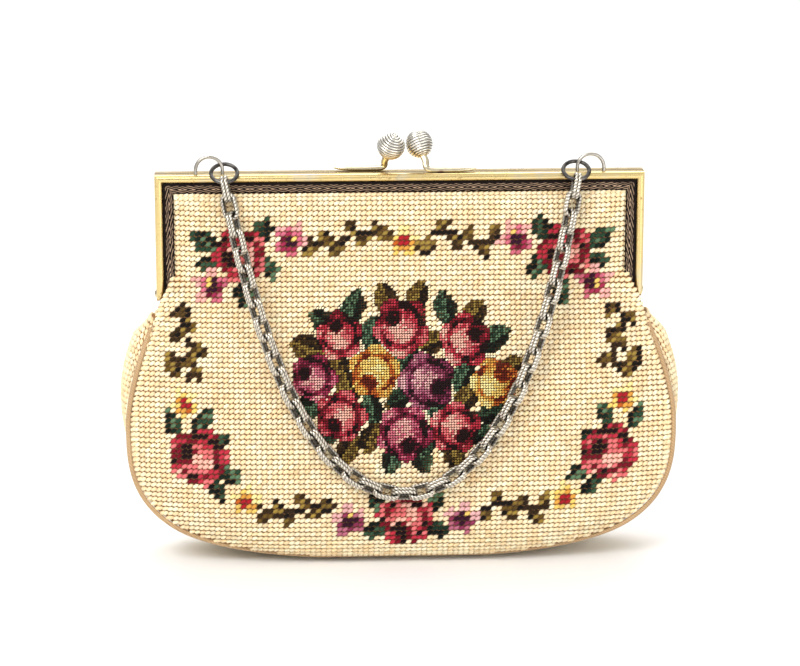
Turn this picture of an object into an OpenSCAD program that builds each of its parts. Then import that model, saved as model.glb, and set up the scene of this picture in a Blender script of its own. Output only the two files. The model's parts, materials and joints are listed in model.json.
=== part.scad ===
// Needlepoint frame handbag: a stitched wool pouch in a hinged kiss-lock frame,
// with a handle of doubled chain links. Millimetres, +Z up, front towards -Y,
// origin on the floor under the middle of the base.

/* [Frame] */
// Outer width of the frame
frame_w = 220; // [200:1:236]
// Height of the frame above the hinge line
frame_h = 55; // [48:1:66]
// Height of the hinge line above the floor
hinge_z = 121; // [112:1:132]
// Depth of one half of the closed frame
half_d = 7; // [6.6:0.1:9]
// Diameter of the rolled rim
rim_d = 3.6; // [3:0.1:4.6]
// Thickness of the frame's sheet metal
sheet = 1.2; // [0.8:0.1:1.5]
// Gap between the two closed halves
split = 0.3; // [0.2:0.1:0.6]
// Visible width of the engraved band
band_w = 4.8; // [3:0.1:7]
// Thickness of the engraved band
band_t = 0.9; // [0.6:0.1:1.2]
// Depth of the band's face below the rim's crest
band_recess = 1; // [0.6:0.1:1.6]

/* [Hinge] */
// Diameter of the hinge rivets
pin_d = 2.4; // [1.8:0.1:3]
// Radius of the hinge ears
ear_r = 3.2; // [2.6:0.1:3.3]
// Height of the back half's ear plates above the hinge line
ear_h = 11; // [8:0.5:16]
// Running clearance round the rivets
pin_fit = 0.05; // [0.02:0.01:0.1]
// Height of the rivet heads
head_h = 0.9; // [0.5:0.1:1.4]
// Clearance between parts that move past each other
run = 0.3; // [0.2:0.05:0.5]

/* [Pouch] */
// Width of the pouch from seam to seam
pouch_w = 244; // [228:1:262]
// Width between the seams where they leave the frame
shoulder_w = 217; // [210:1:224]
// Height of the widest place
widest_z = 65; // [56:1:76]
// Depth from seam to seam low down
pouch_d = 44; // [34:1:56]
// Swell of a panel beyond its seams
pouch_puff = 9; // [4:0.5:14]
// Swell of a panel out of the frame
frame_puff = 6; // [3:0.5:8]
// Squareness of the lower corners
corner_power = 3; // [2.4:0.1:3.8]
// Swell of the gusset beyond the seams
gusset_swell = 2; // [1:0.5:5]
// How far the gusset swells out at the shoulders
shoulder_swell = 8; // [3:0.5:10]
// Thickness of the stitched canvas
cloth = 2.5; // [1.6:0.1:3]
// Thickness of the lining
lining_t = 0.7; // [0.4:0.1:1]
// Diameter of the piping in the seams
piping_d = 2.2; // [1.6:0.1:3]
// Height of one row of stitches
stitch = 2.3; // [2:0.1:4]
// Height of the stitch ridges
stitch_h = 0.45; // [0.2:0.05:0.7]

/* [Clasp] */
// Diameter of the clasp balls
ball_d = 12.6; // [10:0.2:14]
// Height of the balls' centres above the frame
ball_rise = 12; // [10:0.5:15]
// How far each ball leans past the closing line
ball_lean = 2.4; // [1:0.1:4]
// Sideways place of the closing point
clasp_x = 2.3; // [-10:0.1:10]
// Length of the arms' feet
foot_l = 20; // [12:1:30]
// Width of the arms' feet
foot_w = 4; // [3:0.1:4.6]
// Thickness of the arms' feet
foot_t = 1.2; // [0.8:0.1:2]
// Diameter of the arms' necks
neck_d = 2.8; // [2:0.1:3.6]

/* [Handle] */
// Distance of the bails from the ends of the frame
bail_in = 24.4; // [18:0.2:50]
// Outer width of a bail
bail_w = 13.6; // [11:0.2:16]
// Wire of the bails
bail_wire = 1.6; // [1.2:0.1:2]
// Height of the bails above the frame
bail_h = 8.7; // [8:0.1:12]
// Outer diameter of the jump rings
ring_d = 13.5; // [12.5:0.1:15]
// Wire of the jump rings
ring_wire = 1.8; // [1.4:0.1:2]
// Forward slope of the jump rings
ring_tilt = 35; // [30:1:40]
// Outer length of a chain link
link_l = 12.4; // [12:0.1:13]
// Outer width of a chain link
link_w = 7.2; // [7:0.1:7.6]
// Wire of the chain links
link_wire = 1.5; // [1.2:0.1:1.5]
// Pitch of the chain
link_pitch = 8; // [7.9:0.05:8.1]
// Number of doubled links in the chain, an odd count so that both ends hang alike
links = 43; // [37:2:45]
// Gap between the chain and the front panel
chain_gap = 0.8; // [0.8:0.1:2]

/* [Hidden] */
$fn = 48;
fit = 0.2;
frame_top = hinge_z + frame_h;
half_w = frame_w / 2;
rim_y = half_d - rim_d / 2;
band_out = half_w - rim_d - pin_fit;
band_in = band_out - band_w;
band_top = frame_top - rim_d - pin_fit;
band_back = half_d - band_recess - band_t;

// Canvas edges behind the band
tuck = 1.6;
tuck_d = band_back - fit;
tuck_w = band_in + tuck;
tuck_top = band_top - band_w + tuck;
panel_top = tuck_top - tuck;
top_roll = 10;
base_roll = 28;

// Seam line: it leaves the frame at shoulder_z and turns under at the base
shoulder_z = hinge_z - ear_r - half_d + run * 7;
shoulder_drop = 4;
front_shoulder = hinge_z - rim_d / 2 - run * 2;
corner_end = 80;
seam_low = piping_d + 0.4;
seam_base = seam_z(corner_end);
deep_z = 45;
shoulder_rise = 45;
cut_r = half_d * 2 + 1;
columns = [-1, -0.984, -0.92, -0.75, -0.4, 0, 0.4, 0.75, 0.92, 0.984, 1];
inner_rows = 17;
top_inner_rows = 5;
seam_steps = 20;

// Clasp and handle places
ball_r = ball_d / 2;
ball_off = ball_r + run / 2;
foot_y = (rim_y + split / 2) / 2;
foot_gap = 3.8;
bail_x = half_w - bail_in;
bail_r = (bail_w - bail_wire) / 2;
bail_y = -(foot_y + rim_y) / 2;
bail_low = frame_top + bail_h - bail_wire / 2 - bail_r;
ring_r = (ring_d - ring_wire) / 2;
ring_dir = [0, -cos(ring_tilt), -sin(ring_tilt)];
ring_up = [0, -sin(ring_tilt), cos(ring_tilt)];
ring_x = bail_x - bail_r - bail_wire / 2;
ring_play = 1;
ring_level = ring_up * [0, -rim_y, frame_top - rim_d / 2] + (rim_d + ring_wire) / 2 + run;
leg_cross = [0, bail_y - fit, (ring_level - ring_up.y * (bail_y - fit)) / ring_up.z];
ring_mid = leg_cross + ring_dir * (ring_r - ring_wire / 2 - bail_wire / 2 / cos(ring_tilt) - ring_play);
ring_front = ring_mid + ring_dir * ring_r;
link_reach = (link_l - link_wire) / 2;
link_arc = (link_w - link_wire) / 2;
pair_off = link_wire / 2 + pin_fit;
hook = (ring_wire + link_wire) / 2 + run * 2;
chain_end = ring_front.z + hook - (link_reach - link_pitch / 2);
chain_half = links * link_pitch / 2;
hang_steps = 120;
halvings = 40;
hang_h = hang_half(ring_x + link_pitch / 2, chain_half, halvings);
hang_a = catenary(ring_x, hang_h, link_pitch, chain_half * 3, halvings);
hang_table = hang_lengths(hang_h, hang_a);

// Small helpers
function unit_range(t) = min(1, max(0, t));
function ease(t) = let (c = unit_range(t)) c * c * (3 - 2 * c);
function blend(a, b, t) = a + (b - a) * t;
function unit(v) = v / norm(v);
function rolled(t) = sqrt(1 - pow(unit_range(t), 2));
function sinh(t) = (exp(t) - exp(-t)) / 2;
function cosh(t) = (exp(t) + exp(-t)) / 2;
function asinh(t) = ln(t + sqrt(t * t + 1));

// Curve of a chain of half length len between ends at +-span, found by halving
function catenary(span, len, low, high, n) = let (mid = (low + high) / 2)
  n == 0 ? mid :
  mid * sinh(min(30, span / mid)) > len ? catenary(span, len, mid, high, n - 1)
                                        : catenary(span, len, low, mid, n - 1);

// Seam line in the front view: half width and height
function seam_x(t) = pouch_w / 2 * pow(cos(t), 2 / corner_power);
function seam_z(t) = widest_z - (widest_z - seam_low) * pow(sin(t), 2 / corner_power);
function side_w(z) = z < widest_z
  ? pouch_w / 2 * pow(max(0, 1 - pow((widest_z - z) / (widest_z - seam_low), corner_power)), 1 / corner_power)
  : pouch_w / 2 - (pouch_w - shoulder_w) / 2 * pow((z - widest_z) / (shoulder_z - widest_z), 1.6);
function seam_w(z, top_w, tuck_in) = let (low = (tuck_in > 0 ? front_shoulder : shoulder_z) - shoulder_drop)
  z < low ? side_w(z) : blend(side_w(low), top_w, ease((z - low) / shoulder_drop));

// Distance of a seam and of a panel's face from the closing plane
function seam_d(z) = tuck_d + (pouch_d / 2 - tuck_d) * sin(90 * unit_range((hinge_z - z) / (hinge_z - deep_z)));
function swell(z) = blend(pouch_puff, frame_puff, ease((z - widest_z - 15) / 40))
  * rolled((z - panel_top + top_roll) / top_roll) * rolled((seam_base + base_roll - z) / base_roll);
function crown(u, z, top_w, tuck_in) = let (
    flat = 1 - tuck_in * ease((z - shoulder_z + shoulder_drop) / shoulder_drop) / top_w,
    power = blend(4, 9, ease((z - shoulder_z + 22) / 30))
  ) 1 - pow(unit_range(abs(u) / flat), power);
function face_d(u, z, top_w, tuck_in) = seam_d(z) + swell(z) * crown(u, z, top_w, tuck_in);

// Height where a face, set in by inset, meets a cylinder of radius r round the hinge line
function cut_h(u, r, inset, top_w, tuck_in, h = 10, n = 8) = n == 0 ? hinge_z + h :
  cut_h(u, r, inset, top_w, tuck_in,
    sqrt(max(1, r * r - pow(face_d(u, hinge_z + h, top_w, tuck_in) - inset, 2))), n - 1);
function row_h(row, u, inset, top_w, tuck_in) =
  row == "below" ? cut_h(u, cut_r - run / 2, inset, top_w, tuck_in) :
  row == "above" ? cut_h(u, cut_r + run / 2, inset, top_w, tuck_in) : row;

// Point of a panel's layer: inset from the face, ridge added to it, margin off its sides
function layer_point(u, row, inset, ridge, top_w, tuck_in, margin) = let (
    z = row_h(row, u, inset, top_w, tuck_in),
    lift = ridge * crown(u, z, top_w, tuck_in)
  ) [u * (min(seam_w(z, top_w, tuck_in), seam_w(z - margin, top_w, tuck_in)) - margin), inset - face_d(u, z, top_w, tuck_in) - lift, z];

// Closed shell between a fine ridged face and a coarse inner face
module panel_shell(rows, picks, inset, thick, ridge, top_w, tuck_in, margin) {
  nr = len(rows);
  nc = len(columns);
  nm = len(picks);
  outer = [for (r = [0 : nr - 1]) for (u = columns)
    layer_point(u, rows[r], inset, r % 2 == 1 && r < nr - 1 ? ridge : 0, top_w, tuck_in, margin)];
  inner = [for (m = picks) for (u = columns) layer_point(u, rows[m], inset + thick, 0, top_w, tuck_in, margin)];
  io = nr * nc;
  outer_faces = [for (r = [0 : nr - 2]) for (c = [0 : nc - 2]) each [
    [r * nc + c, (r + 1) * nc + c, (r + 1) * nc + c + 1],
    [r * nc + c, (r + 1) * nc + c + 1, r * nc + c + 1]]];
  inner_faces = [for (m = [0 : nm - 2]) for (c = [0 : nc - 2]) let (a = io + m * nc + c) each [
    [a, a + nc + 1, a + nc],
    [a, a + 1, a + nc + 1]]];
  low_faces = [for (c = [0 : nc - 2]) each [
    [c, c + 1, io + c + 1],
    [c, io + c + 1, io + c]]];
  high_o = (nr - 1) * nc;
  high_i = io + (nm - 1) * nc;
  high_faces = [for (c = [0 : nc - 2]) each [
    [high_o + c, high_i + c + 1, high_o + c + 1],
    [high_o + c, high_i + c, high_i + c + 1]]];
  left_faces = [for (m = [0 : nm - 2]) each [
    for (r = [picks[m] : picks[m + 1] - 1]) [io + m * nc, (r + 1) * nc, r * nc],
    [io + m * nc, io + (m + 1) * nc, picks[m + 1] * nc]]];
  e = nc - 1;
  right_faces = [for (m = [0 : nm - 2]) each [
    for (r = [picks[m] : picks[m + 1] - 1]) [io + m * nc + e, r * nc + e, (r + 1) * nc + e],
    [io + m * nc + e, picks[m + 1] * nc + e, io + (m + 1) * nc + e]]];
  polyhedron(
    points = concat(outer, inner),
    faces = concat(outer_faces, inner_faces, low_faces, high_faces, left_faces, right_faces));
}

// Rows of stitches, half a stitch apart, between two heights
function stitch_rows(low, high) = let (n = 2 * floor((high - low) / stitch))
  [for (i = [0 : n]) low + (high - low) * i / n];
function picks_of(rows, n) = concat([0, 2], [for (m = [0 : n - 1]) round(4 + m * (len(rows) - 5) / (n - 1))]);

low_top = cut_h(0, cut_r, 0, tuck_w, tuck) - 2 * stitch;
high_low = cut_h(1, cut_r, cloth, tuck_w, tuck) + 2 * stitch;
front_rows = concat(stitch_rows(seam_base, panel_top), [tuck_top]);
back_rows = concat(stitch_rows(seam_base, low_top), ["below"]);
top_rows = concat(["above", high_low - stitch / 2], stitch_rows(high_low, panel_top), [tuck_top]);
back_w = band_in - run;
lining_in = cloth + fit * 2;
lining_margin = cloth + fit * 4;

module front_panel() {
  color("wheat")
    panel_shell(front_rows, picks_of(front_rows, inner_rows), 0, cloth, stitch_h, tuck_w, tuck, 0);
}

module back_panel() {
  color("wheat") mirror([0, 1, 0])
    panel_shell(back_rows, picks_of(back_rows, inner_rows), 0, cloth, stitch_h, back_w, 0, 0);
}

module back_panel_top() {
  color("wheat") mirror([0, 1, 0])
    panel_shell(top_rows, picks_of(top_rows, top_inner_rows), 0, cloth, stitch_h, tuck_w, tuck, 0);
}

// Lining leaves: plain thin shells along the canvas's inner rows, from row index first up
module lining_leaf(rows, n, first, top_w, tuck_in) {
  leaf = [for (m = picks_of(rows, n)) if (m >= first) rows[m]];
  panel_shell(leaf, [for (i = [0 : len(leaf) - 1]) i], lining_in, lining_t, 0, top_w, tuck_in, lining_margin);
}

module front_lining() {
  color("tan") lining_leaf(front_rows, inner_rows, 4, tuck_w, tuck);
}

module back_lining() {
  color("tan") mirror([0, 1, 0]) lining_leaf(back_rows, inner_rows, 4, back_w, 0);
}

module top_lining() {
  color("tan") mirror([0, 1, 0]) lining_leaf(top_rows, top_inner_rows, 0, tuck_w, tuck);
}

// Seam path from the right shoulder, under the base, to the left shoulder
gusset_z = shoulder_z - shoulder_drop;
seam_right = concat(
  [for (i = [0 : 7]) let (z = blend(gusset_z, widest_z, i / 8)) [side_w(z), z]],
  [for (i = [0 : seam_steps - 8]) let (t = corner_end * i / (seam_steps - 8)) [seam_x(t), seam_z(t)]]);
seam_path = concat(seam_right, [for (i = [len(seam_right) - 1 : -1 : 0]) [-seam_right[i].x, seam_right[i].y]]);
seam_n = len(seam_path);
function path_normal(i) = let (
    a = seam_path[max(0, i - 1)],
    b = seam_path[min(seam_n - 1, i + 1)],
    flat = i == seam_n / 2 - 1 || i == seam_n / 2,
    t = unit(b - a)
  ) flat ? [0, -1] : [-t.y, t.x];

// Gusset strip: outward offsets across the strip, at half depth d
across = [[-1, 0], [-0.8, 0.62], [-0.5, 1], [0.5, 1], [0.8, 0.62], [1, 0]];
function gusset_lift(z) = let (side = blend(seam_base, gusset_swell, ease((z - seam_base) / base_roll)))
  blend(side, shoulder_swell, ease((z - deep_z) / shoulder_rise))
  * blend(1, 0.55, ease((z - gusset_z + top_roll) / top_roll));
function strip_point(i, a, off, cut) = let (
    p = seam_path[i],
    q = p + path_normal(i) * (gusset_lift(p.y) * a[1] + off)
  ) [q.x, a[0] * (seam_d(p.y) - cut), q.y];

module strip(off, thick, cut) {
  na = len(across);
  outer = [for (i = [0 : seam_n - 1]) for (a = across) strip_point(i, a, off, cut)];
  inner = [for (i = [0 : seam_n - 1]) for (a = across) strip_point(i, a, off - thick, cut)];
  io = seam_n * na;
  skin = [for (i = [0 : seam_n - 2]) for (c = [0 : na - 2]) let (a = i * na + c) each [
    [a, a + na, a + na + 1],
    [a, a + na + 1, a + 1]]];
  ends = [for (c = [0 : na - 2]) let (z = (seam_n - 1) * na + c) each [
    [c, c + 1, io + c + 1],
    [c, io + c + 1, io + c],
    [z, io + z + 1, z + 1],
    [z, io + z, io + z + 1]]];
  edges = [for (i = [0 : seam_n - 2]) let (a = i * na, b = i * na + na - 1) each [
    [a, io + a + na, a + na],
    [a, io + a, io + a + na],
    [b, b + na, io + b + na],
    [b, io + b + na, io + b]]];
  back = [for (f = skin) [io + f[0], io + f[2], io + f[1]]];
  polyhedron(points = concat(outer, inner), faces = concat(skin, back, ends, edges));
}

module gusset() {
  color("wheat") strip(0, cloth, cloth + fit);
}

module gusset_lining() {
  color("tan") strip(-cloth - fit, lining_t, lining_in + lining_t + fit * 2);
}

// Piping: a round cord along the seam
module piping() {
  sides = 6;
  ring = [for (i = [0 : seam_n - 1]) let (p = seam_path[i], n = path_normal(i), r = piping_d / 2)
    for (k = [0 : sides - 1]) let (
      q = p + n * (r + fit + r * cos(k * 360 / sides)),
      y = -seam_d(p.y) + r / 2 + r * sin(k * 360 / sides)
    ) [q.x, y, q.y]];
  body = [for (i = [0 : seam_n - 2]) for (k = [0 : sides - 1]) let (
      a = i * sides + k,
      b = i * sides + (k + 1) % sides
    ) each [[a, a + sides, b + sides], [a, b + sides, b]]];
  first = [[for (k = [0 : sides - 1]) k]];
  last = [[for (k = [sides - 1 : -1 : 0]) (seam_n - 1) * sides + k]];
  polyhedron(points = ring, faces = concat(body, first, last));
}

module front_piping() {
  color("burlywood") piping();
}

module back_piping() {
  color("burlywood") mirror([0, 1, 0]) piping();
}

// One half's rolled rim: a round bead in front of a flat wall, mitred at the corners
module rim_leg() {
  intersection() {
    union() {
      translate([half_w - rim_d / 2, -rim_y, hinge_z]) cylinder(d = rim_d, h = frame_h);
      translate([half_w - sheet, -rim_y, hinge_z]) cube([sheet, rim_y - split / 2, frame_h]);
    }
    rotate([90, 0, 0]) linear_extrude(height = half_d * 3, center = true)
      polygon([[half_w, hinge_z], [half_w, frame_top], [half_w - rim_d, frame_top - rim_d], [half_w - rim_d, hinge_z]]);
  }
  translate([half_w - rim_d / 2, -rim_y, hinge_z]) sphere(d = rim_d);
}

module rim_bar() {
  intersection() {
    union() {
      translate([-half_w, -rim_y, frame_top - rim_d / 2]) rotate([0, 90, 0]) cylinder(d = rim_d, h = frame_w);
      translate([-half_w, -rim_y, frame_top - sheet]) cube([frame_w, rim_y - split / 2, sheet]);
    }
    rotate([90, 0, 0]) linear_extrude(height = half_d * 3, center = true)
      polygon([[-half_w, frame_top], [half_w, frame_top],
        [half_w - rim_d, frame_top - rim_d], [-half_w + rim_d, frame_top - rim_d]]);
  }
}

module both_sides() {
  children();
  mirror([1, 0, 0]) children();
}

module hinge_hole() {
  translate([0, 0, hinge_z]) rotate([0, 90, 0])
    cylinder(d = pin_d + 2 * pin_fit, h = frame_w * 2, center = true);
}

module front_frame() {
  color("goldenrod") difference() {
    union() {
      rim_bar();
      both_sides() {
        rim_leg();
        translate([half_w - sheet, 0, hinge_z]) rotate([0, 90, 0]) cylinder(r = ear_r, h = sheet);
      }
    }
    hinge_hole();
  }
}

// The back half's ears lie inside the front half's ears
ear_x = half_w - 2 * sheet - run;

module back_ear() {
  translate([ear_x, 0, hinge_z]) rotate([0, 90, 0]) cylinder(r = ear_r, h = sheet);
  translate([ear_x, split / 2, hinge_z]) cube([sheet, rim_y - split / 2, ear_h]);
  translate([ear_x, split / 2, hinge_z + ear_r + 2 * run])
    cube([sheet + 2 * run, rim_y - split / 2, ear_h - ear_r - 2 * run]);
}

module back_frame() {
  color("goldenrod") difference() {
    union() {
      mirror([0, 1, 0]) rim_bar();
      both_sides() {
        difference() {
          mirror([0, 1, 0]) rim_leg();
          translate([half_w - sheet - run, 0, hinge_z]) rotate([0, 90, 0]) cylinder(r = ear_r + run, h = sheet * 3);
        }
        back_ear();
      }
    }
    hinge_hole();
  }
}

// Engraved band: a flat plate round the inside of the rim
module band_plate() {
  rotate([90, 0, 0]) linear_extrude(height = band_t) difference() {
    translate([-band_out, hinge_z]) square([2 * band_out, band_top - hinge_z]);
    translate([-band_in, hinge_z - band_w]) square([2 * band_in, band_top - hinge_z]);
  }
}

module front_band() {
  color("saddlebrown") translate([0, -band_back, 0]) band_plate();
}

module back_band() {
  color("saddlebrown") mirror([0, 1, 0]) translate([0, -band_back, 0]) band_plate();
}

// Hinge rivets, headed at both ends
module rivet() {
  translate([ear_x - pin_fit, 0, hinge_z]) rotate([0, 90, 0]) {
    cylinder(d = pin_d, h = half_w - ear_x + 2 * pin_fit);
    translate([0, 0, -head_h]) cylinder(d1 = pin_d, d2 = pin_d * 1.7, h = head_h);
    translate([0, 0, half_w - ear_x + 2 * pin_fit]) cylinder(d1 = pin_d * 1.7, d2 = pin_d, h = head_h);
  }
}

module left_rivet() {
  color("darkgoldenrod") mirror([1, 0, 0]) rivet();
}

module right_rivet() {
  color("darkgoldenrod") rivet();
}

// Clasp: the arm and the ball of the front half stand to the right of the closing point
ball_at = [ball_off, ball_lean, frame_top + ball_rise];
elbow_d = neck_d * 1.25;
neck_at = [ball_off + foot_gap, -foot_y, frame_top + elbow_d / 2 + pin_fit];
neck_v = ball_at - neck_at;

module along(from, v) {
  translate(from) rotate([0, acos(v.z / norm(v)), atan2(v.y, v.x)]) children();
}

module clasp_arm() {
  translate([neck_at.x, -foot_y, frame_top]) linear_extrude(height = foot_t) {
    translate([0, -foot_w / 2]) square([foot_l, foot_w]);
    translate([foot_l, 0]) circle(d = foot_w);
  }
  translate(neck_at) sphere(d = elbow_d);
  along(neck_at, neck_v) cylinder(d = neck_d, h = norm(neck_v) - ball_r - pin_fit);
}

// Ball with turned grooves round its neck
module clasp_ball() {
  groove_r = ball_d / 28;
  along(ball_at, neck_v) difference() {
    sphere(r = ball_r);
    for (a = [15 : 15 : 150])
      translate([0, 0, ball_r * cos(a)]) rotate_extrude() translate([ball_r * sin(a), 0]) circle(r = groove_r);
  }
}

module front_clasp_arm() {
  color("goldenrod") translate([clasp_x, 0, 0]) clasp_arm();
}

module front_clasp_ball() {
  color("silver") translate([clasp_x, 0, 0]) clasp_ball();
}

module back_clasp_arm() {
  color("goldenrod") translate([clasp_x, 0, 0]) rotate([0, 0, 180]) clasp_arm();
}

module back_clasp_ball() {
  color("silver") translate([clasp_x, 0, 0]) rotate([0, 0, 180]) clasp_ball();
}

// Bail: a wire arch on top of the front half
module bail() {
  translate([bail_x, bail_y, bail_low]) rotate([90, 0, 0]) rotate_extrude(angle = 180)
    translate([bail_r, 0]) circle(d = bail_wire);
  for (s = [-1, 1])
    translate([bail_x + s * bail_r, bail_y, frame_top]) cylinder(d = bail_wire, h = bail_low - frame_top);
}

module left_bail() {
  color("silver") mirror([1, 0, 0]) bail();
}

module right_bail() {
  color("silver") bail();
}

// Jump ring: round the bail's inner leg, sloping down over the front rim
module jump_ring() {
  translate([ring_x, ring_mid.y, ring_mid.z]) rotate([ring_tilt, 0, 0]) rotate_extrude()
    translate([ring_r, 0]) circle(d = ring_wire);
}

module left_ring() {
  color("dimgray") mirror([1, 0, 0]) jump_ring();
}

module right_ring() {
  color("dimgray") jump_ring();
}

// Chain path: a catenary of half length h and shape a, draped forward over the front panel;
// q runs from 0 at its lowest place to 1 at the jump ring
function hang_point(q, h, a) = let (
    x = a * asinh(q * h / a),
    drop = a * (cosh(ring_x / a) - cosh(x / a)),
    deep = a * (cosh(ring_x / a) - 1),
    out = face_d(0, chain_end - deep, tuck_w, tuck) + stitch_h + link_w / 2 + chain_gap
  ) [x, ring_front.y - (out + ring_front.y) * sin(90 * drop / deep), chain_end - drop];
function hang_step(i, h, a) = norm(hang_point(i / hang_steps, h, a) - hang_point((i - 1) / hang_steps, h, a));
function hang_lengths(h, a) = [for (i = 0, c = 0; i <= hang_steps; i = i + 1, c = c + hang_step(i, h, a))
  [c, i / hang_steps]];

// Half length of the catenary whose draped length fits the links, found by halving
function hang_half(low, high, n) = let (mid = (low + high) / 2)
  n == 0 ? mid :
  hang_lengths(mid, catenary(ring_x, mid, link_pitch, chain_half * 3, halvings))[hang_steps][0] > chain_half
    ? hang_half(low, mid, n - 1) : hang_half(mid, high, n - 1);

// Point at length s along the chain from its middle
function chain_point(s) = hang_point(sign(s) * lookup(abs(s), hang_table), hang_h, hang_a);

module oval_ring() {
  straight = link_l / 2 - link_w / 2;
  for (s = [-1, 1]) {
    translate([s * straight, 0, 0]) rotate([0, 0, -90 * s]) rotate_extrude(angle = 180)
      translate([link_arc, 0]) circle(d = link_wire);
    translate([-straight, s * link_arc, 0]) rotate([0, 90, 0]) cylinder(d = link_wire, h = 2 * straight);
  }
}

// Two rings side by side, at length s along the chain, turned by a quarter on every second link
module doubled_link(s, turned) {
  p = (chain_point(s - link_pitch / 2) + chain_point(s + link_pitch / 2)) / 2;
  t = unit(chain_point(s + link_pitch / 2) - chain_point(s - link_pitch / 2));
  face = unit([0, -1, 0] - t * (t * [0, -1, 0]));
  side = cross(face, t);
  w = turned ? side : face;
  n = cross(t, w);
  multmatrix([[t.x, w.x, n.x, p.x], [t.y, w.y, n.y, p.y], [t.z, w.z, n.z, p.z], [0, 0, 0, 1]])
    for (k = [-1, 1])
      translate([0, 0, k * pair_off]) oval_ring();
}

module chain() {
  color("silver")
    for (i = [0 : links - 1])
      doubled_link((i + 0.5) * link_pitch - chain_half, i % 2 == 1);
}

front_panel();
back_panel();
back_panel_top();
gusset();
front_piping();
back_piping();
front_lining();
back_lining();
top_lining();
gusset_lining();
front_frame();
front_band();
back_frame();
back_band();
left_rivet();
right_rivet();
front_clasp_arm();
front_clasp_ball();
back_clasp_arm();
back_clasp_ball();
left_bail();
right_bail();
left_ring();
right_ring();
chain();
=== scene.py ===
import json
import math

import bmesh
import bpy
import numpy as np
from mathutils import Matrix, Vector


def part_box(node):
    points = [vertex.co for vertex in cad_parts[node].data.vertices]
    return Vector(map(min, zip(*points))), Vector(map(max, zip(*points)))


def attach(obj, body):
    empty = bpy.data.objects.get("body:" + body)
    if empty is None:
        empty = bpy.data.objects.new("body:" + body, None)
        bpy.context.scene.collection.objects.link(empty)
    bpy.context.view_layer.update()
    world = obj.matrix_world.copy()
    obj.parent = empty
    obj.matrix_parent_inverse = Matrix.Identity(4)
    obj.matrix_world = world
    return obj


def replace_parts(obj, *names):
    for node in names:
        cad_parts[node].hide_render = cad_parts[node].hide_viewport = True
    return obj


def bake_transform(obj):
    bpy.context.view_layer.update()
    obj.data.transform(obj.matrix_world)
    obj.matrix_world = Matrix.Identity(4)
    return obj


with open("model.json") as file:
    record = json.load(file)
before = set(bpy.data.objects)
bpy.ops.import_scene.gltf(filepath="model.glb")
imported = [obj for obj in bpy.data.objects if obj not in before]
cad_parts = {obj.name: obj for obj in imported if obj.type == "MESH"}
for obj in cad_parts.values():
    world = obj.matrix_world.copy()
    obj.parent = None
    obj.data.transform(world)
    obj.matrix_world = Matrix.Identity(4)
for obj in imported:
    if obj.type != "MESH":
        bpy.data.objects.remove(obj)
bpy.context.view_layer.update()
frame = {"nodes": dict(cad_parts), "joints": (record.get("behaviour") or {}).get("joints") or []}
nodes = frame["nodes"]
mm = 0.001
rng = np.random.default_rng(11)
hinge = Vector(frame["joints"][0]["pos_m"]) / mm
print("frame loaded:", len(nodes), "nodes")


def screenColour(r, g, b):
    # 0 to 255 screen values to the linear values that shaders take
    return tuple(c / 255 / 12.92 if c < 11 else ((c / 255 + 0.055) / 1.055) ** 2.4 for c in (r, g, b))


# colours of the materials
white = (1.0, 1.0, 1.0)
tints = {
    # canvas: two browns darker than bare canvas, painted shade for the gaps between stitches, and a
    # near-black painted shade for under the bouquet
    "canvas": [(112, 76, 44), (170, 124, 80), (22, 12, 9)],
    "piping": [(140, 102, 62), (212, 180, 134)], "lining": [(150, 120, 84), (206, 178, 138)],
    "gilt": [(224, 199, 138), (210, 198, 168), (202, 191, 164)],
    # spots and a reddish stain are wear; the middle colour is painted shade for the gap between the frame's
    # halves
    "giltWearAndShade": [(96, 62, 34), (70, 44, 28), (120, 48, 36)],
    "band": [(22, 14, 12), (204, 172, 142)],
    "silver": [(222, 214, 199), (178, 172, 162), (14, 11, 10)],
    "ball": [(224, 219, 208), (212, 178, 112), (22, 18, 16)],
    "gunmetal": [(58, 56, 56), (116, 112, 108)],
}
tints = {name: [screenColour(*c) for c in shades] for name, shades in tints.items()}
gold, paleGold, bareMetal = tints["gilt"]
chainSilver, wireSilver, silverRecess = tints["silver"]


class Wire:
    # an output socket that can stand in a sum or a product
    def __init__(self, finish, socket):
        self.finish = finish
        self.socket = socket

    def combine(self, operation, a, b):
        return self.finish.node("ShaderNodeMath", {0: a, 1: b}, operation=operation)

    def __add__(self, other):
        return self.combine("ADD", self, other)

    __radd__ = __add__

    def __rsub__(self, other):
        return self.combine("SUBTRACT", other, self)

    def __mul__(self, other):
        return self.combine("MULTIPLY", self, other)


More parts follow.
